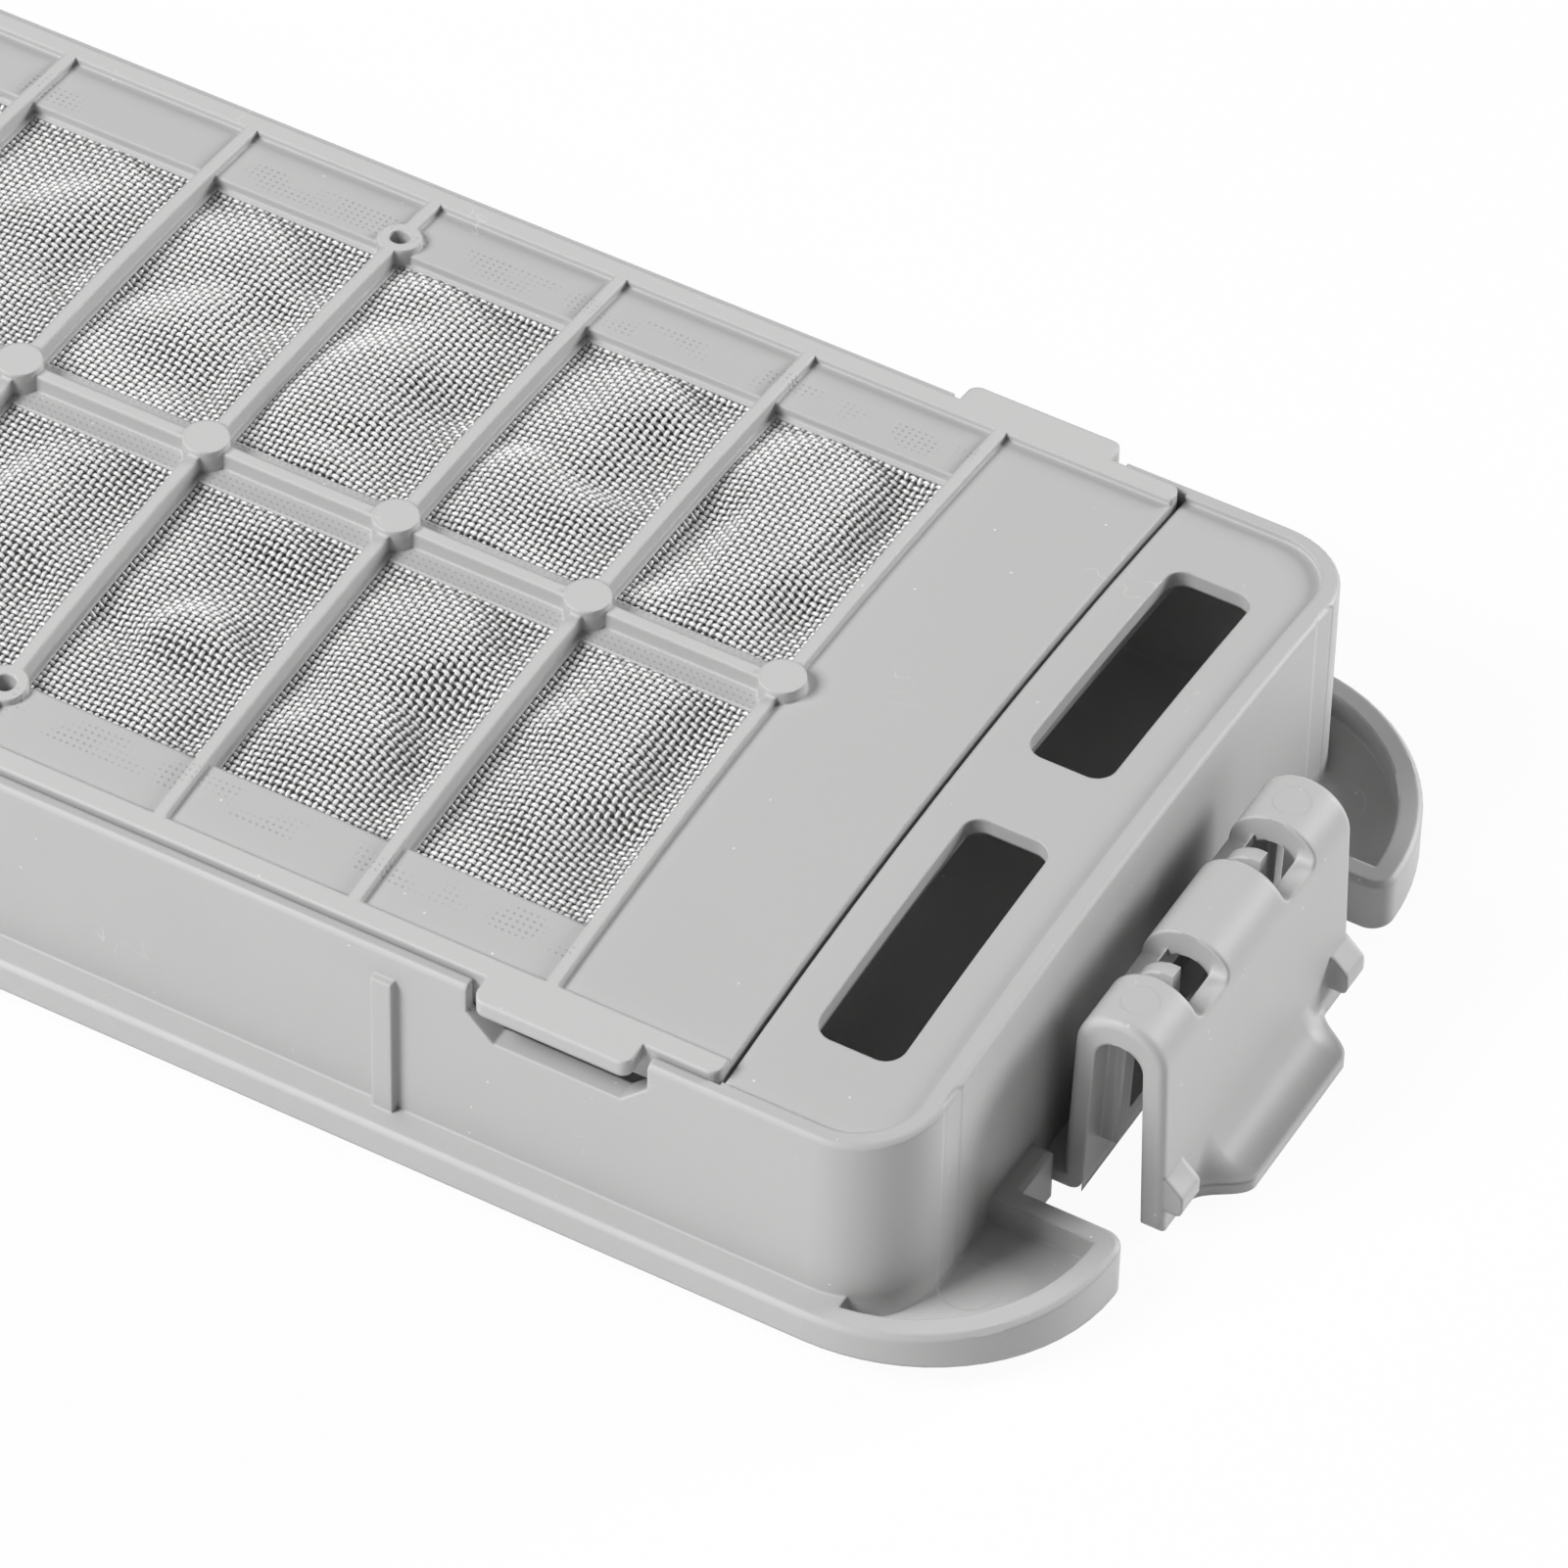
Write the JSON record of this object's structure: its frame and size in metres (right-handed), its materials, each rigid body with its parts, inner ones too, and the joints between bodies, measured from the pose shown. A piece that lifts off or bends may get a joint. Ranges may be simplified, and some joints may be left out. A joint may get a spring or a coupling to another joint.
{
  "type": "washing machine filter cartridge",
  "caption": "Shallow lint filter cartridge for a washing machine drum: face plate, crowned casing with slotted deck, hinged mesh lid and a spring latch.",
  "frame": {"origin": "centre of the overall outline, on the lowest line of the drum-side face", "axes": "+X along the cartridge to the latch, +Y across it, +Z from the drum-side face up to the mesh lid"},
  "size_m": [0.224, 0.1028, 0.0327],
  "materials": {
    "grey_plastic": "satin light grey",
    "lid_plastic": "satin light grey",
    "nylon_mesh": "woven nylon thread, light grey"
  },
  "bodies": {
    "casing": {"casing": "grey_plastic"},
    "latch": {"latch": "grey_plastic"},
    "lid": {"lid_frame": "lid_plastic", "filter_mesh": "nylon_mesh"}
  },
  "joints": [
    {"name": "lid_hinge", "type": "hinge", "parent": "casing", "child": "lid", "pos_m": [-0.09222, 0, 0.0262], "axis": [0, -1, 0], "range_deg": [0, 110]},
    {"name": "latch_flex", "type": "hinge", "parent": "casing", "child": "latch", "pos_m": [0.10153, 0, 0.0239], "axis": [0, 1, 0], "range_deg": [0, 10], "stiffness_Nm_per_rad": 0.3}
  ]
}
